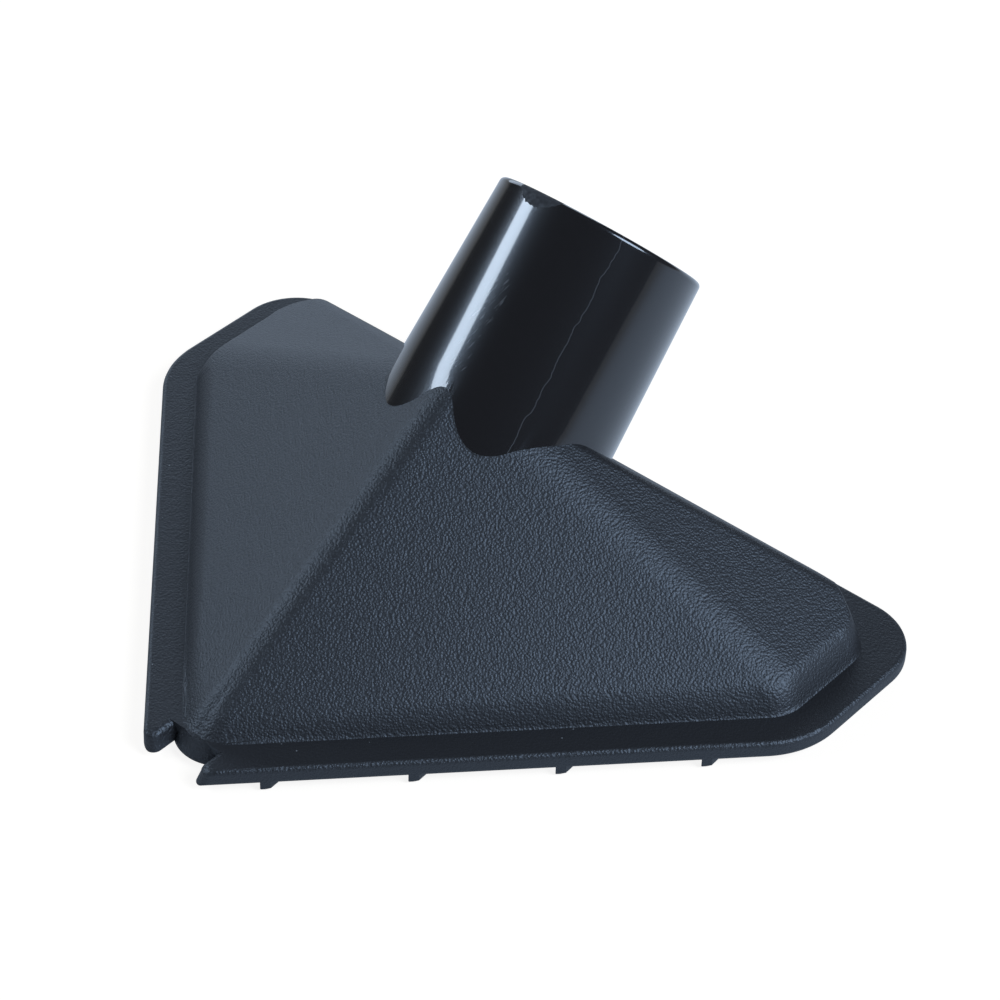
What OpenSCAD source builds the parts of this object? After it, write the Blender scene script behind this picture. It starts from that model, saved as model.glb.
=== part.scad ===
// Coarse dirt nozzle for a wet and dry vacuum cleaner, moulded in one piece.
// A pyramid-shaped hood stands on a flat lip round a five-sided mouth.
// The hose socket leaves the sloping back of the hood at a right angle to it.
// Millimetres. X is the width, -Y points to the tip, +Z is up.
// The origin lies under the middle of the nozzle's overall width and depth,
// level with the tips of the spacer fins.

/* [Lip round the mouth] */
// Width of the nozzle across the lip
lip_width = 150; // [130:1:180]
// Length of each straight side, from the back edge to the long slanted edge
side_length = 35; // [30:1:50]
// Angle between the two long edges at the tip
tip_angle = 87; // [80:1:100]
// Thickness of the lip
lip_thickness = 3; // [2.4:0.1:4]
// Width of the flat ledge between the hood and the edge of the lip
ledge_width = 6.3; // [5:0.1:9]
// Plan radius of the four side corners of the lip
lip_corner_radius = 12; // [8:0.5:15]
// Rounding of the upper and lower edges of the lip
lip_edge_radius = 0.9; // [0.5:0.1:1.1]
// Gap between the two lip ends at the tip
tip_gap = 8.8; // [7:0.1:11]
// Plan radius of the sharp outer corner of each lip end
lip_end_radius = 1.6; // [1:0.1:2.4]

/* [Hood] */
// Wall thickness of the hood
wall = 2.2; // [1.8:0.1:2.6]
// Distance of the hood's crest from the back edge, measured up the back slope
crest_distance = 55.7; // [52:0.1:60]
// Rounding radius of the crest
crest_radius = 4; // [3.5:0.1:5]
// Radius that turns the ledge side of the hood into its sloping faces
shoulder_radius = 5; // [4:0.1:6]
// Outward draft of the hood's foot over the thickness of the lip
foot_draft = 0.9; // [0.4:0.1:1.2]
// Plan radius of the hood's nose
nose_radius = 6.5; // [5:0.1:8]
// Plan radius of the hood's two front side corners
front_corner_radius = 8; // [6:0.5:10]
// Plan radius of the hood's two back corners
back_corner_radius = 16; // [13:0.5:18]

/* [Hose socket] */
// Lean of the socket from upright, which is also the slope of the hood's back
socket_tilt = 45; // [42:1:48]
// Inner diameter of the socket, which takes the vacuum tube
bore_diameter = 35; // [32:0.5:36]
// Outer diameter of the socket at the hood
socket_foot_diameter = 40.2; // [40:0.1:42]
// Outer diameter of the socket at its rim
socket_rim_diameter = 38.5; // [38.2:0.1:39.5]
// Length of the socket from the back slope to the rim
socket_length = 33.7; // [28:0.1:45]
// Distance of the socket's axis from the back edge, measured up the back slope
socket_distance = 35.1; // [32:0.1:37]
// Rounding of the outer edge of the rim
rim_radius = 0.8; // [0.4:0.1:0.9]
// Chamfer at the mouth of the bore
bore_lead_in = 0.5; // [0.3:0.1:0.6]
// Width of the step that stops the tube at the foot of the socket
stop_width = 1.3; // [0.8:0.1:2]

/* [Spacer fins] */
// Fins under each long edge of the lip
fin_count = 4; // [2:1:4]
// Distance of the first fin from the mirror plane
fin_start = 13.5; // [12:0.1:16]
// Spacing of the fins
fin_pitch = 16.5; // [12:0.1:17]
// Thickness of a fin
fin_thickness = 1.2; // [0.8:0.1:2]
// Height of a fin below the lip
fin_height = 1.5; // [1:0.1:3]

/* [Hidden] */

plastic = "#2b323d";

// Overlap that lets one solid run into the next, and a cutter run past a face
overlap = 1;
// Straight pieces in each rounded corner of an outline
corner_steps = 12;
// Rings that shape the shoulder of the hood, and the angle they turn through
shoulder_rings = 4;
shoulder_turn = 52;
// Thickness of the thin plates that a hull runs over
plate = 0.02;

half_width = lip_width / 2;
half_tip = tip_angle / 2;
tip_depth = side_length + half_width / tan(half_tip);
lip_bottom = fin_height;
lip_top = lip_bottom + lip_thickness;

// The back slope passes through the upper back edge of the lip
slope_y = -cos(socket_tilt);
slope_z = sin(socket_tilt);
crest_y = crest_distance * slope_y;
crest_z = lip_top + crest_distance * slope_z;
socket_y = socket_distance * slope_y;
socket_z = lip_top + socket_distance * slope_z;
// The socket's solid runs down into the hood to below the lowest scallop
socket_root = 0.6 * socket_foot_diameter / 2;
// The shoulder meets the back slope at the height of its last ring
shoulder_height = shoulder_radius * sin(shoulder_turn);
shoulder_inset = shoulder_radius * (1 - cos(shoulder_turn));
back_ledge = shoulder_height / tan(socket_tilt) - shoulder_inset;

// Foremost point of the lip ends and rearmost point of the rim, measured from
// the back edge of the lip, and the middle between them
front_reach = tip_depth - tip_gap / 2 / tan(half_tip) - lip_end_radius * (1 / tan(half_tip / 2) - 1);
rim_reach_along = (socket_length - rim_radius) * sin(socket_tilt);
rim_reach_across = (socket_rim_diameter / 2 - rim_radius) * cos(socket_tilt);
back_reach = socket_y + rim_reach_along + rim_reach_across + rim_radius;
middle_y = (back_reach - front_reach) / 2;

function unit(v) = v / norm(v);

// Arc that rounds the corner between two straight edges of an outline,
// or the sharp corner itself when the radius is 0
function corner_arc(before, corner, after, radius) =
    radius <= 0 ? [corner] :
    let(
        to_before = unit(before - corner),
        to_after = unit(after - corner),
        opening = acos(to_before * to_after),
        centre = corner + unit(to_before + to_after) * radius / sin(opening / 2),
        from_centre = corner + to_before * radius / tan(opening / 2) - centre,
        first = atan2(from_centre.y, from_centre.x),
        turn = 180 - opening
    )
    [for (i = [0 : corner_steps])
        centre + radius * [cos(first + turn * i / corner_steps), sin(first + turn * i / corner_steps)]];

// Corners of the five-sided plan, moved in by one distance on the four front
// and side edges, and by another along the back
function plan(inset, back_inset) =
    let(
        half = half_width - inset,
        tip = tip_depth - inset / sin(half_tip),
        side = tip - half / tan(half_tip)
    )
    [[-half, -back_inset], [-half, -side], [0, -tip], [half, -side], [half, -back_inset]];

// The same plan with its corners rounded: back, front side, tip, front side, back
function rounded_plan(inset, back_inset, back_radius, side_radius, tip_radius) =
    let(
        corners = plan(inset, back_inset),
        radii = [back_radius, side_radius, tip_radius, side_radius, back_radius],
        count = len(corners)
    )
    [for (i = [0 : count - 1])
        each corner_arc(corners[(i + count - 1) % count], corners[i], corners[(i + 1) % count], radii[i])];

// Thin plate of the hood's plan, at one height and inset
module hood_plate(height, inset, depth) {
    translate([0, 0, height])
        linear_extrude(plate)
            polygon(rounded_plan(
                ledge_width + inset,
                back_ledge + inset,
                back_corner_radius - depth,
                front_corner_radius - depth,
                nose_radius - depth
            ));
}

// Outer form of the hood when depth is 0, and its hollow when depth is the wall
module hood(depth, reach_down) {
    hull() {
        hood_plate(lip_bottom - reach_down, depth - foot_draft, depth);
        for (i = [0 : shoulder_rings - 1]) {
            angle = shoulder_turn * i / (shoulder_rings - 1);
            hood_plate(
                lip_top + (shoulder_radius - depth) * sin(angle) - plate,
                depth + (shoulder_radius - depth) * (1 - cos(angle)),
                depth
            );
        }
        translate([0, crest_y, crest_z - crest_radius / cos(socket_tilt)])
            sphere(r = crest_radius - depth, $fn = 32);
    }
}

// Slab of the lip's plan, at one height and inset
module lip_slab(height, inset, depth) {
    radius = lip_corner_radius - inset;
    translate([0, 0, height])
        linear_extrude(depth)
            polygon(rounded_plan(inset, inset, radius, radius, 0));
}

// Lip with rounded edges, before the gap at the tip is cut
module lip_blank() {
    hull() {
        for (angle = [0, 45]) {
            inset = lip_edge_radius * (1 - sin(angle));
            rise = lip_edge_radius * (1 - cos(angle));
            lip_slab(lip_bottom + rise, inset, lip_thickness - 2 * rise);
        }
        lip_slab(lip_bottom + lip_edge_radius, 0, lip_thickness - 2 * lip_edge_radius);
    }
}

// Cutter for the gap at the tip, with a rounded outer corner on each lip end
module tip_gap_cutter() {
    half_gap = tip_gap / 2;
    corner = [half_gap, half_gap / tan(half_tip) - tip_depth];
    inner = [half_gap, corner.y + 2 * ledge_width];
    outer = corner + 2 * ledge_width * [sin(half_tip), cos(half_tip)];
    arc = corner_arc(inner, corner, outer, lip_end_radius);
    half = concat([[0, inner.y], inner], arc, [[outer.x, corner.y - ledge_width], [0, corner.y - ledge_width]]);
    for (mirrored = [0, 1])
        mirror([mirrored, 0, 0])
            translate([0, 0, lip_bottom - overlap])
                linear_extrude(lip_thickness + 2 * overlap)
                    polygon(half);
}

// Fins under one long edge of the lip, parallel to the mirror plane
module fin_row() {
    for (i = [0 : fin_count - 1])
        translate([fin_start + i * fin_pitch, -tip_depth, lip_bottom - fin_height])
            cube([fin_thickness, tip_depth - side_length / 2, fin_height + lip_thickness / 2]);
}

// Band under the lip that the fins are trimmed to
module fin_band() {
    hull() {
        lip_slab(lip_bottom + lip_thickness / 2, lip_edge_radius, plate);
        lip_slab(lip_bottom - fin_height / 2, lip_edge_radius, plate);
        lip_slab(lip_bottom - fin_height, lip_edge_radius + fin_height / 3, plate);
    }
}

module fins() {
    intersection() {
        fin_band();
        for (mirrored = [0, 1])
            mirror([mirrored, 0, 0])
                fin_row();
    }
}

// Places what follows on the socket's axis, with its zero on the back slope
module on_socket_axis() {
    translate([0, socket_y, socket_z])
        rotate([-socket_tilt, 0, 0])
            children();
}

// Tapered outside of the socket with a rounded rim
module socket_blank() {
    foot = socket_foot_diameter / 2;
    rim = socket_rim_diameter / 2;
    rim_arc = [for (i = [0 : 4])
        [rim - rim_radius * (1 - cos(22.5 * i)), socket_length - rim_radius * (1 - sin(22.5 * i))]];
    on_socket_axis()
        rotate_extrude($fn = 96)
            polygon(concat([[0, -socket_root], [foot, -socket_root], [foot, 0]], rim_arc, [[0, socket_length]]));
}

// Bore for the tube, the throat below its stop, and the lead-in at the rim
module socket_bore() {
    bore = bore_diameter / 2;
    on_socket_axis() {
        cylinder(r = bore, h = socket_length + overlap, $fn = 96);
        translate([0, 0, -socket_root - overlap])
            cylinder(r = bore - stop_width, h = socket_root + 2 * overlap, $fn = 96);
        translate([0, 0, socket_length - bore_lead_in])
            cylinder(r1 = bore, r2 = bore + bore_lead_in + overlap, h = bore_lead_in + overlap, $fn = 96);
    }
}

module nozzle() {
    color(plastic)
        translate([0, -middle_y, 0])
            difference() {
                union() {
                    hood(0, 0);
                    difference() {
                        lip_blank();
                        tip_gap_cutter();
                    }
                    fins();
                    socket_blank();
                }
                hood(wall, fin_height + overlap);
                socket_bore();
            }
}

nozzle();
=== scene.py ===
# Coarse dirt nozzle for a wet and dry vacuum cleaner, in one dark moulded plastic piece.
# Sizes are in millimetres and angles in degrees, turned into metres and radians where they are used.
import math
import bmesh
import bpy
from mathutils import Matrix, Vector


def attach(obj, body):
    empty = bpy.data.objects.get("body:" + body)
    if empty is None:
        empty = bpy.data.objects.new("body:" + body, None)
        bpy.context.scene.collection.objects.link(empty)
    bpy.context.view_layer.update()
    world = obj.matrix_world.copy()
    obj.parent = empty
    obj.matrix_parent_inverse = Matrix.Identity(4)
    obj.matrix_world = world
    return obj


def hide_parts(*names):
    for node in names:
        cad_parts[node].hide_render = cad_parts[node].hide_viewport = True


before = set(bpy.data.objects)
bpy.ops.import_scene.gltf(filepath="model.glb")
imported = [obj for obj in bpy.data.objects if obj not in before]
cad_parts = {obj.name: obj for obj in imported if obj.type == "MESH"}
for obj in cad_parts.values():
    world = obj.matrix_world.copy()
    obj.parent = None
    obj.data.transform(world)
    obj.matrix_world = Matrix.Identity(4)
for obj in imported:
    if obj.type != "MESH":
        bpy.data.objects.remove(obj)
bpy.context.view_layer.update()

# Hood
# The hollow pyramid that gathers the dirt. It is moulded with the rest of the nozzle, in polypropylene,
# and its outside carries the leather grain of the mould. Its back slope runs down flush with the back
# edge of the lip.
LIP_WIDTH = 150
SIDE_LENGTH = 35
TIP_ANGLE = 87
LIP_BOTTOM = 1.2
LIP_TOP = 4.5
LEDGE_WIDTH = 6.3
BACK_SLOPE = 45
BACK_INSET = 0.2
CREST_DISTANCE = 55.6
HOOD_WALL = 2.2
FOOT_FILLET = 0.3
NOSE_RADIUS = 6.5
FRONT_CORNER_RADIUS = 8
# Each back corner of the plan is cut off at an angle, and what is left of it is rounded with two radii
BACK_CUT_ANGLE = 33
BACK_CUT_DEPTH = 11
BACK_CORNER_RADIUS = 8
END_CORNER_RADIUS = 7
# How far the hood widens below the ledge, down to the mouth
MOUTH_DRAFT = 1.6
# The wall above the ledge leans in by 12 degrees at the back and by 24 along the sides and the tip
WALL_LEAN = (12, 24)
# Round the nose it leans in by this much more and its shoulder is rounded more, to this far on each side
NOSE_LEAN = 14
NOSE_CREASE = 2.5
NOSE_REACH = 16
# The long faces and the end faces lie against round shoulders of these radii and rise to the crest
SHOULDER_RADIUS = 5
END_SHOULDER_RADIUS = 6.2
# How far the creases are rounded. The one down to the tip goes from the first value to the second,
# and the others lie at the front side corners, along the back slope and over the shoulder.
CREST_CREASE = 3.5
TIP_CREASE = 3
SIDE_CREASE = 2
BACK_CREASE = 1.6
SHOULDER_CREASE = 2.4
# Towards the tip the long faces sink by this much at their common crease, over this width on each side
CROWN = 2.5
CROWN_WIDTH = 45
# The columns of points climb to a place this far down the back slope from the crest, and stop just
# short of it
COLUMNS_MEET = 1.5
COLUMN_END = 0.985
RING_GAP = 0.01
CORNER_STEPS = 24
EDGE_STEPS = 24
SHOULDER_STEPS = 14
SHOULDER_REACH = 4
SLOPE_STEPS = 40
# How far a cutter runs past the face it cuts
PAST = 1

HALF_WIDTH = LIP_WIDTH / 2
HALF_TIP = math.radians(TIP_ANGLE / 2)
TIP_DEPTH = SIDE_LENGTH + HALF_WIDTH / math.tan(HALF_TIP)
# The CAD model's origin is under the middle of its depth, and the lip's back edge lies this far behind it
BACK_EDGE = 47.348


def to_metres(point):
    """A point measured from the middle of the lip's back edge, in the frame of the CAD model."""
    return Vector((point[0], point[1] + BACK_EDGE, point[2])) * 0.001


def five_sided_plan(inset, back_inset):
    """Corners of the plan, moved in from the edges of the lip, from the left back corner to the right."""
    half = HALF_WIDTH - inset
    tip = TIP_DEPTH - inset / math.sin(HALF_TIP)
    side = tip - half / math.tan(HALF_TIP)
    return [(-half, -back_inset), (-half, -side), (0, -tip), (half, -side), (half, -back_inset)]


def rounded_outline(corners, radii, corner_steps, edge_steps):
    """Points round a plan with rounded corners, each with its outward direction."""
    count = len(corners)
    outline = []
    for i in range(count):
        before, corner, after = (Vector(corners[(i + k) % count]) for k in (-1, 0, 1))
        inward = [(before - corner).normalized(), (after - corner).normalized()]
        opening = math.acos(inward[0].dot(inward[1]))
        centre = corner + (inward[0] + inward[1]).normalized() * radii[i] / math.sin(opening / 2)
        first = math.atan2(inward[0].x, -inward[0].y)
        turn = math.pi - opening
        for step in range(corner_steps + 1):
            angle = first + turn * step / corner_steps
            outward = Vector((math.cos(angle), math.sin(angle)))
            outline.append((centre + outward * radii[i], outward))
        next_corner, after_next = (Vector(corners[(i + k) % count]) for k in (1, 2))
        to_next = (next_corner - corner).normalized()
        next_opening = math.acos((-to_next).dot((after_next - next_corner).normalized()))
        start = outline[-1][0]
        end = next_corner - to_next * radii[(i + 1) % count] / math.tan(next_opening / 2)
        for step in range(1, edge_steps):
            outline.append((start.lerp(end, step / edge_steps), outline[-1][1]))
    return outline


def lofted_solid(name, rings, material):
    """A closed solid that runs through rings of equally many points, from the lowest ring to the highest."""
    count = len(rings[0])
    vertices = [to_metres(point) for ring in rings for point in ring]
    faces = [tuple(reversed(range(count)))]
    for r in range(len(rings) - 1):
        for i in range(count):
            j = (i + 1) % count
            faces.append((r * count + i, r * count + j, (r + 1) * count + j, (r + 1) * count + i))
    faces.append(tuple(range((len(rings) - 1) * count, len(rings) * count)))
    mesh = bpy.data.meshes.new(name)
    mesh.from_pydata(vertices, [], faces)
    mesh.materials.append(material)
    solid = bpy.data.objects.new(name, mesh)
    bpy.context.scene.collection.objects.link(solid)
    return solid


def soft_least(height, other, blend):
    """The lower of two heights, rounded off where they cross."""
    overlap = max(blend - abs(height - other), 0) / blend
    return min(height, other) - overlap * overlap * blend / 4


def face_height(distance, crest_distance, crest_height, radius):
    """Height above the ledge of a flat face that lies against a round shoulder and ends at the crest."""
    lean = (math.atan2(crest_distance - radius, crest_height)
            + math.asin(radius / math.hypot(crest_height, crest_distance - radius)))
    return (radius * (1 - math.cos(lean)) + distance * math.cos(lean)) / math.sin(lean)


def hood_height(x, y, depth):
    """Height of the hood above the ledge at a place in plan, from its faces and their rounded creases."""
    slope = math.radians(BACK_SLOPE)
    crest_y = -CREST_DISTANCE * math.cos(slope)
    crest_height = CREST_DISTANCE * math.sin(slope)
    tip_y = -TIP_DEPTH + LEDGE_WIDTH / math.sin(HALF_TIP)
    end_distance = HALF_WIDTH - LEDGE_WIDTH
    long_distance = (crest_y - tip_y) * math.sin(HALF_TIP)
    long_faces = []
    for side in (-1, 1):
        distance = (y - tip_y) * math.sin(HALF_TIP) - side * x * math.cos(HALF_TIP)
        long_faces.append(face_height(distance, long_distance, crest_height, SHOULDER_RADIUS))
    from_crest = min(max((crest_y - y) / (crest_y - tip_y), 0), 1)
    height = soft_least(*long_faces, CREST_CREASE + (TIP_CREASE - CREST_CREASE) * from_crest)
    height -= CROWN * from_crest * max(1 - abs(x) / CROWN_WIDTH, 0) ** 2
    end_face = face_height(end_distance - abs(x), end_distance, crest_height, END_SHOULDER_RADIUS)
    height = soft_least(height, end_face, SIDE_CREASE)
    height = soft_least(height, (-y - BACK_INSET) * math.tan(slope), BACK_CREASE)
    return height - depth / math.cos(slope)


def hood_outline(depth):
    """Points round the foot of the hood, or of its hollow when depth is the wall."""
    slope = math.radians(BACK_SLOPE)
    corners = five_sided_plan(LEDGE_WIDTH + depth, BACK_INSET + depth / math.sin(slope))
    cut = math.radians(BACK_CUT_ANGLE)
    half = HALF_WIDTH - LEDGE_WIDTH
    # The cut starts on the end face, this far from the back edge, and runs to the back face at its angle
    start_y = -BACK_CUT_DEPTH - depth * (1 - math.sin(cut)) / math.cos(cut)
    end_x = half - depth - (corners[0][1] - start_y) / math.tan(cut)
    corners = ([(-end_x, corners[0][1]), (depth - half, start_y)] + corners[1:4]
               + [(half - depth, start_y), (end_x, corners[0][1])])
    radii = [BACK_CORNER_RADIUS, END_CORNER_RADIUS, FRONT_CORNER_RADIUS, NOSE_RADIUS,
             FRONT_CORNER_RADIUS, END_CORNER_RADIUS, BACK_CORNER_RADIUS]
    return rounded_outline(corners, [radius - depth for radius in radii], CORNER_STEPS, EDGE_STEPS)


def hood_column(place, outward, depth, foot_level):
    """Points from the mouth up the hood's foot, wall, shoulder and face, over one place of its outline."""
    middle = Vector((0, -(CREST_DISTANCE - COLUMNS_MEET) * math.cos(math.radians(BACK_SLOPE))))
    # 0 where the outline faces straight back, and 1 from where it faces sideways to the tip
    front_share = min(outward.angle(Vector((0, 1))) / (math.pi / 2), 1)
    front_wave = math.sin(front_share * math.pi / 2)
    at_nose = abs(place.x) < NOSE_RADIUS and front_share == 1 and place.y < -CREST_DISTANCE
    nose_share = max(1 - abs(place.x) / NOSE_REACH, 0) ** 2 if place.y < -CREST_DISTANCE else 0
    lean = WALL_LEAN[0] + (WALL_LEAN[1] - WALL_LEAN[0]) * front_share + NOSE_LEAN * nose_share
    wall_lean = math.tan(math.radians(lean))
    crease = (SHOULDER_CREASE + NOSE_CREASE * nose_share) * front_wave
    fillet = 0 if depth > 0 or at_nose else FOOT_FILLET * front_wave

    foot = place + outward * (fillet + MOUTH_DRAFT) * front_share
    column = [(foot.x, foot.y, foot_level)]
    # Where there is no fillet, its three rings still lie a little above one another
    for step in range(3):
        angle = math.radians(30 * step)
        edge = place + outward * fillet * (1 - math.sin(angle))
        rise = fillet * (1 - math.cos(angle)) - RING_GAP * (4 - step)
        column.append((edge.x, edge.y, LIP_TOP + rise))

    reach = outward.dot(place - middle)
    lowest = fillet * wall_lean
    wall = [lowest + (SHOULDER_REACH - lowest) * step / SHOULDER_STEPS for step in range(SHOULDER_STEPS + 1)]
    start = SHOULDER_REACH / reach
    face = [reach * (start + (COLUMN_END - start) * step / SLOPE_STEPS) for step in range(1, SLOPE_STEPS + 1)]
    for distance in wall + face:
        point = place.lerp(middle, distance / reach)
        height = hood_height(point.x, point.y, depth)
        if front_share > 0.01:
            height = soft_least(height, distance / wall_lean, crease)
        column.append((point.x, point.y, LIP_TOP + max(height, fillet)))
    return column


def hood_solid(name, depth, foot_level, material):
    """The outside of the hood when depth is 0, or its hollow when depth is the wall."""
    columns = [hood_column(place, outward, depth, foot_level) for place, outward in hood_outline(depth)]
    rings = [[column[level] for column in columns] for level in range(len(columns[0]))]
    return lofted_solid(name, rings, material)


# One dark blue-black polypropylene in three textures of the mould: leather grain on the hood, satin on the
# lip and a polish on the socket. They differ in their roughness, their relief and how strongly they mirror.
# The inside has no texture.
PLASTIC = (0.0150, 0.0143, 0.0158, 1)
SHEEN_TINT = (0.75, 0.86, 1.0, 1)


def plastic(name, roughness, sheen=1.0):
    """A material of the dark plastic, and its shader. Sheen is how strongly it mirrors."""
    material = bpy.data.materials.new(name)
    material.use_nodes = True
    shader = material.node_tree.nodes["Principled BSDF"]
    shader.inputs["Base Color"].default_value = PLASTIC
    shader.inputs["Roughness"].default_value = roughness
    shader.inputs["Specular IOR Level"].default_value = sheen
    shader.inputs["Specular Tint"].default_value = SHEEN_TINT
    return material, shader


def calculate(tree, operation, *values):
    """Adds a maths node, whose inputs are numbers or the outputs of other nodes, and gives its output."""
    node = tree.nodes.new("ShaderNodeMath")
    node.operation = operation
    for socket, value in zip(node.inputs, values):
        if isinstance(value, (int, float)):
            socket.default_value = value
        else:
            tree.links.new(value, socket)
    return node.outputs[0]


def grain_group():
    """Leather grain as a height: rounded pebbles of uneven outline, with creases between them."""
    group = bpy.data.node_groups.new("leather_grain", "ShaderNodeTree")
    group.interface.new_socket("Pebbles per Metre", in_out="INPUT", socket_type="NodeSocketFloat")
    group.interface.new_socket("Height", in_out="OUTPUT", socket_type="NodeSocketFloat")
    nodes, links = group.nodes, group.links
    given = nodes.new("NodeGroupInput")
    result = nodes.new("NodeGroupOutput")
    place = nodes.new("ShaderNodeTexCoord")
    wander = nodes.new("ShaderNodeTexNoise")
    wander.inputs["Scale"].default_value = 1700
    wander.inputs["Detail"].default_value = 2
    shift = nodes.new("ShaderNodeVectorMath")
    shift.operation = "MULTIPLY_ADD"
    shift.inputs[1].default_value = (0.0003, 0.0003, 0.0003)
    pebbles = nodes.new("ShaderNodeTexVoronoi")
    pebbles.feature = "SMOOTH_F1"
    pebbles.inputs["Smoothness"].default_value = 0.6
    links.new(place.outputs["Object"], wander.inputs["Vector"])
    links.new(wander.outputs["Color"], shift.inputs[0])
    links.new(place.outputs["Object"], shift.inputs[2])
    links.new(shift.outputs[0], pebbles.inputs["Vector"])
    links.new(given.outputs["Pebbles per Metre"], pebbles.inputs["Scale"])
    links.new(calculate(group, "SUBTRACT", 1, pebbles.outputs["Distance"]), result.inputs["Height"])
    return group


leather_grain = grain_group()


def add_grain(material, shader, pebbles_per_metre, relief):
    """Links the leather grain to a shader, with its pebble size and its relief in millimetres."""
    nodes, links = material.node_tree.nodes, material.node_tree.links
    grain = nodes.new("ShaderNodeGroup")
    grain.node_tree = leather_grain
    grain.inputs["Pebbles per Metre"].default_value = pebbles_per_metre
    bump = nodes.new("ShaderNodeBump")
    bump.inputs["Distance"].default_value = relief * 0.001
    bump.inputs["Strength"].default_value = 1
    links.new(grain.outputs["Height"], bump.inputs["Height"])
    links.new(bump.outputs["Normal"], shader.inputs["Normal"])


grained, grained_shader = plastic("grained_plastic", 0.5)
add_grain(grained, grained_shader, 2500, 0.11)
inside, inside_shader = plastic("inside_plastic", 0.4)

hood = hood_solid("nozzle_moulding", 0, LIP_BOTTOM, grained)
hollow = hood_solid("hollow", HOOD_WALL, LIP_BOTTOM - 2 * PAST, inside)


# Lip
# The flat rim that the hood stands on, moulded with it. Its top is satin and its rounded edges are grained,
# and at the tip it is interrupted by a gap between two rounded ends.
LIP_BACK_RADIUS = 11.5
LIP_SIDE_RADIUS = 17
# The gap cuts the tip away, so its corner is only kept from being sharp
LIP_TIP_RADIUS = 0.05
LIP_EDGE_RADIUS = 0.9
LIP_EDGE_STEPS = 6
# Faces of the lip count as level from this height of their normal, and are satin
LEVEL = 0.97
TIP_GAP = 8.8
LIP_END_RADIUS = 1.6
END_FLARE = 0.6
END_ROUNDING = 1.2
# The two halves of the gap's cutter overlap by this much on each side of the middle
HALF_OVERLAP = 0.5

satin, satin_shader = plastic("satin_plastic", 0.52, 0.87)
add_grain(satin, satin_shader, 2200, 0.06)


def add_dust(material, shader):
    """Scatters pale specks of dust, up to 0.3 mm across."""
    tree = material.node_tree
    place = tree.nodes.new("ShaderNodeTexCoord")
    specks = tree.nodes.new("ShaderNodeTexVoronoi")
    specks.inputs["Scale"].default_value = 400
    tree.links.new(place.outputs["Object"], specks.inputs["Vector"])
    chance = tree.nodes.new("ShaderNodeSeparateColor")
    tree.links.new(specks.outputs["Color"], chance.inputs["Color"])
    near = calculate(tree, "LESS_THAN", specks.outputs["Distance"], 0.06)
    chosen = calculate(tree, "GREATER_THAN", chance.outputs["Red"], 0.6)
    colour = tree.nodes.new("ShaderNodeMix")
    colour.data_type = "RGBA"
    colour.inputs["A"].default_value = PLASTIC
    colour.inputs["B"].default_value = (0.15, 0.16, 0.18, 1)
    tree.links.new(calculate(tree, "MULTIPLY", near, chosen), colour.inputs["Factor"])
    tree.links.new(colour.outputs["Result"], shader.inputs["Base Color"])


add_dust(satin, satin_shader)


def lip_ring(inset, level):
    """Points round the lip's plan, moved in from its edge, at one height."""
    outline = rounded_outline(
        five_sided_plan(inset, inset),
        [LIP_BACK_RADIUS - inset, LIP_SIDE_RADIUS - inset, LIP_TIP_RADIUS,
         LIP_SIDE_RADIUS - inset, LIP_BACK_RADIUS - inset],
        CORNER_STEPS, EDGE_STEPS)
    return [(place.x, place.y, level) for place, outward in outline]


def lip_solid():
    """The lip with its edges rounded, before the gap is cut."""
    rings = []
    for step in range(LIP_EDGE_STEPS + 1):
        angle = math.pi / 2 * step / LIP_EDGE_STEPS
        rings.append(lip_ring(LIP_EDGE_RADIUS * (1 - math.sin(angle)),
                              LIP_BOTTOM + LIP_EDGE_RADIUS * (1 - math.cos(angle))))
    for step in range(LIP_EDGE_STEPS + 1):
        angle = math.pi / 2 * step / LIP_EDGE_STEPS
        rings.append(lip_ring(LIP_EDGE_RADIUS * (1 - math.cos(angle)),
                              LIP_TOP - LIP_EDGE_RADIUS * (1 - math.sin(angle))))
    lip = lofted_solid("lip", rings, satin)
    lip.data.materials.append(grained)
    for face in lip.data.polygons:
        if abs(face.normal.z) < LEVEL:
            face.material_index = 1
    return lip


def gap_outline(half_gap):
    """Half of the gap at the tip in plan, with the rounded outer corner of the lip end beside it."""
    corner = Vector((half_gap, half_gap / math.tan(HALF_TIP) - TIP_DEPTH))
    to_hood = Vector((0, 1))
    along_edge = Vector((math.sin(HALF_TIP), math.cos(HALF_TIP)))
    opening = math.acos(to_hood.dot(along_edge))
    centre = corner + (to_hood + along_edge).normalized() * LIP_END_RADIUS / math.sin(opening / 2)
    points = [(-HALF_OVERLAP, 2 * LEDGE_WIDTH - TIP_DEPTH), (half_gap, 2 * LEDGE_WIDTH - TIP_DEPTH)]
    for step in range(CORNER_STEPS + 1):
        angle = math.pi + (math.pi - opening) * step / CORNER_STEPS
        point = centre + Vector((math.cos(angle), math.sin(angle))) * LIP_END_RADIUS
        points.append((point.x, point.y))
    edge_end = corner + along_edge * 2 * LEDGE_WIDTH
    before_tip = -TIP_DEPTH - 2 * PAST
    points += [(edge_end.x, edge_end.y), (edge_end.x, before_tip), (-HALF_OVERLAP, before_tip)]
    return points


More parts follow.
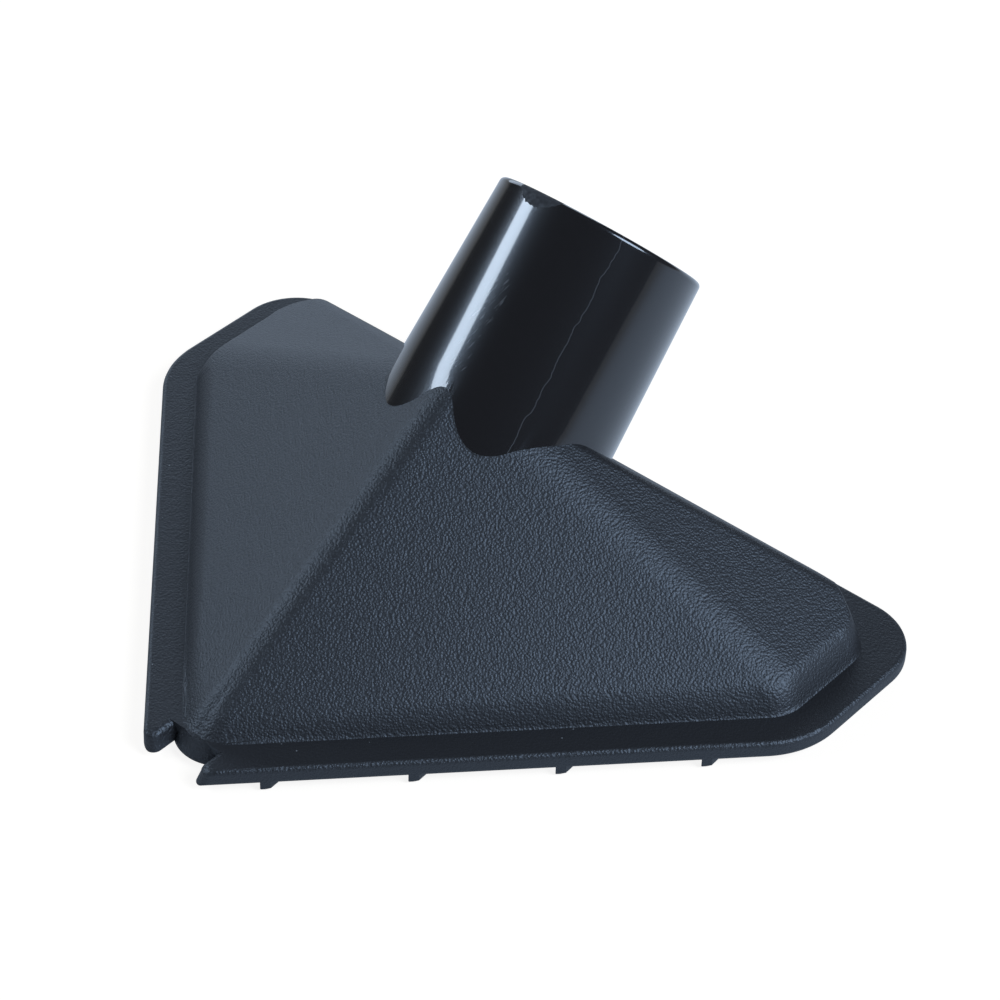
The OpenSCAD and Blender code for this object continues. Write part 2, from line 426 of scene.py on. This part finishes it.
def gap_cutter(side):
    """A block that cuts half of the gap. It is wider at the top, because the lip ends lean out towards their
    foot and their upper edge is rounded."""
    levels = [(LIP_BOTTOM - PAST, TIP_GAP / 2), (LIP_BOTTOM, TIP_GAP / 2)]
    for step in range(LIP_EDGE_STEPS + 1):
        angle = math.pi / 2 * step / LIP_EDGE_STEPS
        levels.append((LIP_TOP - END_ROUNDING * (1 - math.sin(angle)),
                       TIP_GAP / 2 + END_FLARE + END_ROUNDING * (1 - math.cos(angle))))
    levels.append((LIP_TOP + PAST, TIP_GAP / 2 + END_FLARE + END_ROUNDING + PAST))
    rings = []
    for level, half_gap in levels:
        points = gap_outline(half_gap)
        if side > 0:
            points.reverse()
        rings.append([(x * side, y, level) for x, y in points])
    return lofted_solid("gap_cutter", rings, grained)


# Fins
# Short blades under the two long edges of the lip, four on each side, that hold the mouth a little off the
# floor. They are moulded with the lip, stand parallel to the middle of the nozzle and taper to their foot.
FIN_COUNT = 4
FIN_START = 13.1
FIN_PITCH = 16.55
FIN_THICKNESS = 1.2
FIN_FOOT_THICKNESS = 0.5
# Each fin runs from just inside the edge of the lip to under the hood
FIN_SETBACK = 0.05
FIN_LENGTH = 12
# Its outer end is vertical down to the first level, and slants in to its foot at the second
FIN_END_LEVEL = 0.3
FIN_FOOT_SETBACK = 0.2
FIN_FOOT_LEVEL = 0.02


def fin_solid(x, side):
    """One fin, rooted inside the lip. Its outer end follows the slanted edge."""
    root_level = LIP_BOTTOM + PAST
    rings = []
    for share in (0, 1):
        ring = []
        for reach, level, thickness in ((FIN_SETBACK, root_level, FIN_THICKNESS),
                                        (FIN_SETBACK, FIN_END_LEVEL, FIN_THICKNESS),
                                        (FIN_FOOT_SETBACK, FIN_FOOT_LEVEL, FIN_FOOT_THICKNESS),
                                        (FIN_LENGTH, FIN_FOOT_LEVEL, FIN_FOOT_THICKNESS),
                                        (FIN_LENGTH, root_level, FIN_THICKNESS)):
            edge = x + share * thickness
            ring.append((edge * side, reach - TIP_DEPTH + edge / math.tan(HALF_TIP), level))
        rings.append(ring)
    if side < 0:
        rings = [list(reversed(ring)) for ring in rings]
    return lofted_solid("fin", rings, grained)


# Hose socket
# The round tube that the vacuum's pipe is pushed into, moulded with the hood. Its outside is polished, so the
# studio mirrors in it, and its rim is rounded. A step at the bottom of the bore stops the pipe.
SOCKET_LEAN = 45
SOCKET_DISTANCE = 35.1
SOCKET_LENGTH = 33.5
SOCKET_FOOT_RADIUS = 20.4
SOCKET_RIM_RADIUS = 19.44
RIM_ROUNDING = 0.9
RIM_STEPS = 8
BORE_RADIUS = 17.5
BORE_LEAD_IN = 0.5
STOP_WIDTH = 1.3
SOCKET_ROOT = 12
SOCKET_SEGMENTS = 160
# Marks of use, by their distance round the socket from its right side, and along it from the back slope
HAIRLINE_AROUND = -17.2
HAIRLINE_WAVER = 1.6
HAIRLINE_HALF_WIDTH = 0.07
SCUFFS_AROUND = -31.2
SCUFFS_HALF_WIDTH = 2.2
SCUFFS_ALONG = 10
SCUFFS_HALF_LENGTH = 9
CRESCENT_AROUND = -33.4
CRESCENT_HALF_WIDTH = 5.2
CRESCENT_DEPTH = 2.4
CRESCENT_CURVE = 2.8
CRESCENT_RAGGEDNESS = 0.8
# How much of the pale colour each of them takes
WORN_COLOUR = (0.16, 0.17, 0.19, 1)
HAIRLINE_SHARE = 0.35
SCUFFS_SHARE = 0.6
CRESCENT_SHARE = 0.12

# The polish is a clear mirror over a soft glow
POLISH_ROUGHNESS = 0.2
polished, polished_shader = plastic("polished_plastic", POLISH_ROUGHNESS, 0.5)
polished_shader.inputs["Coat Weight"].default_value = 1.0
polished_shader.inputs["Coat Roughness"].default_value = 0.05

socket_axis = Vector((0, math.sin(math.radians(SOCKET_LEAN)), math.cos(math.radians(SOCKET_LEAN))))
socket_side = Vector((1, 0, 0))
# Points back and down from the axis, so distances round the socket are negative on its front
socket_back = socket_axis.cross(socket_side)
socket_foot = Vector((0, -SOCKET_DISTANCE * math.cos(math.radians(BACK_SLOPE)),
                      LIP_TOP + SOCKET_DISTANCE * math.sin(math.radians(BACK_SLOPE))))


def add_wear(material, shader):
    """Marks of use on the socket: a hairline scratch down its front, short scuffs beside it, and a worn
    crescent under the rim."""
    tree = material.node_tree
    place = tree.nodes.new("ShaderNodeTexCoord")
    from_foot = tree.nodes.new("ShaderNodeVectorMath")
    from_foot.operation = "SUBTRACT"
    from_foot.inputs[1].default_value = to_metres(socket_foot)
    tree.links.new(place.outputs["Object"], from_foot.inputs[0])
    parts = []
    for direction in (socket_side, socket_back, socket_axis):
        part = tree.nodes.new("ShaderNodeVectorMath")
        part.operation = "DOT_PRODUCT"
        part.inputs[1].default_value = direction
        tree.links.new(from_foot.outputs[0], part.inputs[0])
        parts.append(part.outputs["Value"])
    angle = calculate(tree, "ARCTAN2", parts[1], parts[0])
    along = calculate(tree, "MULTIPLY", parts[2], 1000)
    around = calculate(tree, "MULTIPLY", angle, SOCKET_RIM_RADIUS)

    waver = tree.nodes.new("ShaderNodeTexNoise")
    waver.noise_dimensions = "1D"
    waver.inputs["Scale"].default_value = 0.22
    tree.links.new(along, waver.inputs["W"])
    hairline_place = calculate(tree, "MULTIPLY_ADD", waver.outputs["Fac"], HAIRLINE_WAVER, HAIRLINE_AROUND)
    hairline = calculate(tree, "COMPARE", around, hairline_place, HAIRLINE_HALF_WIDTH)

    # The scuffs are noise, ten times longer than wide, and slanted across the socket
    slanted = calculate(tree, "MULTIPLY_ADD", along, -0.28, around)
    stretched = tree.nodes.new("ShaderNodeCombineXYZ")
    tree.links.new(calculate(tree, "MULTIPLY", slanted, 3.2), stretched.inputs["X"])
    tree.links.new(calculate(tree, "MULTIPLY", along, 0.32), stretched.inputs["Y"])
    scuff_noise = tree.nodes.new("ShaderNodeTexNoise")
    scuff_noise.noise_dimensions = "2D"
    scuff_noise.inputs["Scale"].default_value = 1
    tree.links.new(stretched.outputs[0], scuff_noise.inputs["Vector"])
    scuffed_width = calculate(tree, "COMPARE", around, SCUFFS_AROUND, SCUFFS_HALF_WIDTH)
    scuffed_length = calculate(tree, "COMPARE", along, SCUFFS_ALONG, SCUFFS_HALF_LENGTH)
    scuffs = calculate(tree, "GREATER_THAN", scuff_noise.outputs["Fac"], 0.68)
    scuffs = calculate(tree, "MULTIPLY", scuffs, calculate(tree, "MULTIPLY", scuffed_width, scuffed_length))

    ragged = tree.nodes.new("ShaderNodeTexNoise")
    ragged.inputs["Scale"].default_value = 1500
    tree.links.new(place.outputs["Object"], ragged.inputs["Vector"])
    across = calculate(tree, "MULTIPLY_ADD", around, 1 / CRESCENT_HALF_WIDTH,
                       -CRESCENT_AROUND / CRESCENT_HALF_WIDTH)
    curve = calculate(tree, "POWER", calculate(tree, "ABSOLUTE", across), 2)
    crescent_depth = calculate(tree, "MULTIPLY_ADD", curve, -CRESCENT_CURVE, CRESCENT_DEPTH)
    crescent_depth = calculate(tree, "MULTIPLY_ADD", ragged.outputs["Fac"], CRESCENT_RAGGEDNESS,
                               crescent_depth)
    from_rim = calculate(tree, "SUBTRACT", SOCKET_LENGTH, along)
    crescent = calculate(tree, "LESS_THAN", from_rim, crescent_depth)

    scratched = calculate(tree, "MAXIMUM", calculate(tree, "MULTIPLY", hairline, HAIRLINE_SHARE),
                          calculate(tree, "MULTIPLY", scuffs, SCUFFS_SHARE))
    worn = calculate(tree, "MAXIMUM", scratched, calculate(tree, "MULTIPLY", crescent, CRESCENT_SHARE))
    colour = tree.nodes.new("ShaderNodeMix")
    colour.data_type = "RGBA"
    colour.inputs["A"].default_value = PLASTIC
    colour.inputs["B"].default_value = WORN_COLOUR
    tree.links.new(worn, colour.inputs["Factor"])
    tree.links.new(colour.outputs["Result"], shader.inputs["Base Color"])
    # The crescent has lost its clear mirror and is unevenly dull
    tree.links.new(calculate(tree, "SUBTRACT", 1, crescent), shader.inputs["Coat Weight"])
    dull = calculate(tree, "MULTIPLY_ADD", crescent, ragged.outputs["Fac"], POLISH_ROUGHNESS)
    tree.links.new(dull, shader.inputs["Roughness"])


add_wear(polished, polished_shader)


def turned_solid(name, profile, material):
    """A solid turned round the socket's axis, from pairs of a radius and a distance along the axis."""
    rings = []
    for radius, along in profile:
        ring = []
        for i in range(SOCKET_SEGMENTS):
            angle = 2 * math.pi * i / SOCKET_SEGMENTS
            ring.append(socket_foot + socket_axis * along
                        + (socket_side * math.cos(angle) + socket_back * math.sin(angle)) * radius)
        rings.append(ring)
    return lofted_solid(name, rings, material)


def socket_profile():
    """The slightly tapered outside, from its root inside the hood to the rounded rim."""
    profile = [(SOCKET_FOOT_RADIUS, -SOCKET_ROOT), (SOCKET_FOOT_RADIUS, 0)]
    for step in range(RIM_STEPS + 1):
        angle = math.pi / 2 * step / RIM_STEPS
        profile.append((SOCKET_RIM_RADIUS - RIM_ROUNDING * (1 - math.cos(angle)),
                        SOCKET_LENGTH - RIM_ROUNDING * (1 - math.sin(angle))))
    return profile


socket = turned_solid("socket", socket_profile(), polished)
bore = turned_solid("bore", [(BORE_RADIUS, 0), (BORE_RADIUS, SOCKET_LENGTH - BORE_LEAD_IN),
                             (BORE_RADIUS + BORE_LEAD_IN + PAST, SOCKET_LENGTH + PAST)], inside)
throat = turned_solid("throat", [(BORE_RADIUS - STOP_WIDTH, -SOCKET_ROOT - 2 * PAST),
                                 (BORE_RADIUS - STOP_WIDTH, PAST / 2)], inside)


def apply_boolean(target, tool, operation):
    """Adds the tool to the target, or cuts it away, and removes the tool."""
    cut = target.modifiers.new(operation.lower(), "BOOLEAN")
    cut.operation = operation
    cut.solver = "EXACT"
    cut.material_mode = "TRANSFER"
    cut.object = tool
    solid = bpy.data.meshes.new_from_object(target.evaluated_get(bpy.context.evaluated_depsgraph_get()))
    target.modifiers.clear()
    target.data = solid
    bpy.data.objects.remove(tool)


lip = lip_solid()
for side in (-1, 1):
    apply_boolean(lip, gap_cutter(side), "DIFFERENCE")
apply_boolean(hood, lip, "UNION")
for side in (-1, 1):
    for i in range(FIN_COUNT):
        apply_boolean(hood, fin_solid(FIN_START + i * FIN_PITCH, side), "UNION")
apply_boolean(hood, socket, "UNION")
apply_boolean(hood, hollow, "DIFFERENCE")
apply_boolean(hood, bore, "DIFFERENCE")
apply_boolean(hood, throat, "DIFFERENCE")

# The cuts leave a few pairs of points in the same place
edited = bmesh.new()
edited.from_mesh(hood.data)
bmesh.ops.remove_doubles(edited, verts=edited.verts, dist=0.000002)
bmesh.ops.dissolve_degenerate(edited, edges=edited.edges, dist=0.000002)
edited.to_mesh(hood.data)
edited.free()
for polygon in hood.data.polygons:
    polygon.use_smooth = True
hood.data.set_sharp_from_angle(angle=math.radians(28))
even_shading = hood.modifiers.new("even_shading", "WEIGHTED_NORMAL")
even_shading.keep_sharp = True
even_shading.weight = 90

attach(hood, "root")
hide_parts("nozzle")

# Studio
# A dark room with a pale floor. A large soft light at the right rakes over the grain, a long thin strip light
# at the left draws the highlight down the socket, and a broad panel stands behind on the left.
FLOOR_SIZE = 6.0
FLOOR_LEVEL = -0.0003
FLOOR_GLOW = 0.87
FLOOR_COLOUR = (0.28, 0.24, 0.20, 1)
PLAIN_FLOOR = (0.8, 0.8, 0.8, 1)
POOL_CENTRE = (0.08, 0.22, 0)
POOL_RADIUS = 0.33
POOL_STRENGTH = 0.59
POOL_LIGHT = (0.56, 0.74, 1.0, 1)
COOL_LIGHT = (0.70, 0.83, 1.0)
STRIP_LIGHT = (0.74, 0.86, 1.0)
ROOM = 0.04
AMBIENT = 0.10


def seen_directly(nodes, links):
    """1 for what the camera, a reflection or glass sees, and 0 for the light that falls on the object."""
    path = nodes.new("ShaderNodeLightPath")
    camera_or_glossy = nodes.new("ShaderNodeMath")
    camera_or_glossy.operation = "MAXIMUM"
    any_of_them = nodes.new("ShaderNodeMath")
    any_of_them.operation = "MAXIMUM"
    links.new(path.outputs["Is Camera Ray"], camera_or_glossy.inputs[0])
    links.new(path.outputs["Is Glossy Ray"], camera_or_glossy.inputs[1])
    links.new(camera_or_glossy.outputs[0], any_of_them.inputs[0])
    links.new(path.outputs["Is Transmission Ray"], any_of_them.inputs[1])
    return any_of_them.outputs[0], path


def make_floor():
    """The floor: white to the camera apart from the shadow, and a pool of light in reflections."""
    half = FLOOR_SIZE / 2
    corners = [(-half, -half, 0), (half, -half, 0), (half, half, 0), (-half, half, 0)]
    mesh = bpy.data.meshes.new("floor")
    mesh.from_pydata(corners, [], [(0, 1, 2, 3)])
    floor = bpy.data.objects.new("floor", mesh)
    bpy.context.scene.collection.objects.link(floor)
    floor.location.z = FLOOR_LEVEL
    material = bpy.data.materials.new("pale_floor")
    material.use_nodes = True
    tree = material.node_tree
    nodes, links = tree.nodes, tree.links
    nodes.clear()
    seen, path = seen_directly(nodes, links)

    place = nodes.new("ShaderNodeTexCoord")
    reach = nodes.new("ShaderNodeVectorMath")
    reach.operation = "DISTANCE"
    reach.inputs[1].default_value = POOL_CENTRE
    links.new(place.outputs["Object"], reach.inputs[0])
    cubed = calculate(tree, "POWER", calculate(tree, "DIVIDE", reach.outputs["Value"], POOL_RADIUS), 3)
    pool = calculate(tree, "DIVIDE", POOL_STRENGTH, calculate(tree, "ADD", cubed, 1))
    pool_light = nodes.new("ShaderNodeEmission")
    pool_light.inputs["Color"].default_value = POOL_LIGHT
    links.new(pool, pool_light.inputs["Strength"])
    white_light = nodes.new("ShaderNodeEmission")
    white_light.inputs["Strength"].default_value = FLOOR_GLOW
    light = nodes.new("ShaderNodeMixShader")
    links.new(path.outputs["Is Camera Ray"], light.inputs[0])
    links.new(pool_light.outputs[0], light.inputs[1])
    links.new(white_light.outputs[0], light.inputs[2])

    shadow_catcher = nodes.new("ShaderNodeBsdfDiffuse")
    shadow_catcher.inputs["Color"].default_value = FLOOR_COLOUR
    both = nodes.new("ShaderNodeAddShader")
    links.new(light.outputs[0], both.inputs[0])
    links.new(shadow_catcher.outputs[0], both.inputs[1])
    plain = nodes.new("ShaderNodeBsdfDiffuse")
    plain.inputs["Color"].default_value = PLAIN_FLOOR
    mix = nodes.new("ShaderNodeMixShader")
    links.new(seen, mix.inputs[0])
    links.new(plain.outputs[0], mix.inputs[1])
    links.new(both.outputs[0], mix.inputs[2])
    output = nodes.new("ShaderNodeOutputMaterial")
    links.new(mix.outputs[0], output.inputs["Surface"])
    mesh.materials.append(material)


def make_room():
    """White to the camera, the dark room in reflections, and an even soft light for the rest."""
    world = bpy.data.worlds.new("room")
    world.use_nodes = True
    bpy.context.scene.world = world
    nodes, links = world.node_tree.nodes, world.node_tree.links
    nodes.clear()
    seen, path = seen_directly(nodes, links)
    white_or_dark = nodes.new("ShaderNodeMix")
    white_or_dark.data_type = "FLOAT"
    white_or_dark.inputs["A"].default_value = ROOM
    white_or_dark.inputs["B"].default_value = 1
    links.new(path.outputs["Is Camera Ray"], white_or_dark.inputs["Factor"])
    strength = nodes.new("ShaderNodeMix")
    strength.data_type = "FLOAT"
    strength.inputs["A"].default_value = AMBIENT
    links.new(seen, strength.inputs["Factor"])
    links.new(white_or_dark.outputs["Result"], strength.inputs["B"])
    background = nodes.new("ShaderNodeBackground")
    links.new(strength.outputs["Result"], background.inputs["Strength"])
    output = nodes.new("ShaderNodeOutputWorld")
    links.new(background.outputs[0], output.inputs["Surface"])


def soft_light(name, shape, place, target, width, height, radiance, colour, roll=0):
    """A soft light of the given radiance, with its sizes in metres, that faces a target."""
    area = width * height * (math.pi / 4 if shape == "ELLIPSE" else 1)
    light = bpy.data.lights.new(name, "AREA")
    light.shape = shape
    light.size = width
    light.size_y = height
    light.energy = radiance * math.pi * area
    light.color = colour
    lamp = bpy.data.objects.new(name, light)
    lamp.matrix_world = (Matrix.Translation(place)
                         @ (Vector(target) - Vector(place)).to_track_quat("-Z", "Y").to_matrix().to_4x4()
                         @ Matrix.Rotation(math.radians(roll), 4, "Z"))
    lamp.visible_camera = False
    bpy.context.scene.collection.objects.link(lamp)


make_floor()
make_room()
soft_light("key", "ELLIPSE", place=(1.44, 0.27, 1.29), target=(0, 0, 0.03),
           width=1.2, height=1.2, radiance=9.167, colour=COOL_LIGHT)
soft_light("strip", "RECTANGLE", place=(-0.666, -0.371, 0.51), target=(0, 0.04, 0.05),
           width=0.90, height=0.11, radiance=11, colour=STRIP_LIGHT, roll=12)
soft_light("back_panel", "RECTANGLE", place=(-0.76, 0.69, 0.30), target=(0, 0, 0.03),
           width=1.15, height=0.60, radiance=1.65, colour=COOL_LIGHT)

# Camera
# Where the photograph was taken from: above the front right of the nozzle and at an arm's length, with a
# long lens on a frame of 36 mm.
CAMERA_PLACE = (0.28101, -0.31581, 0.37513)
CAMERA_TURN = 39.82
CAMERA_DIP = 39.907
CAMERA_ROLL = 1.753
CAMERA_LENS = 117.27

lens = bpy.data.cameras.new("camera")
lens.lens = CAMERA_LENS
lens.sensor_width = 36
lens.sensor_fit = "HORIZONTAL"
lens.clip_start = 0.01
camera = bpy.data.objects.new("camera", lens)
camera.matrix_world = (Matrix.Translation(CAMERA_PLACE)
                       @ Matrix.Rotation(math.radians(CAMERA_TURN), 4, "Z")
                       @ Matrix.Rotation(math.radians(90 - CAMERA_DIP), 4, "X")
                       @ Matrix.Rotation(math.radians(CAMERA_ROLL), 4, "Z"))
bpy.context.scene.collection.objects.link(camera)
bpy.context.scene.camera = camera

bpy.context.scene.view_settings.view_transform = "Standard"
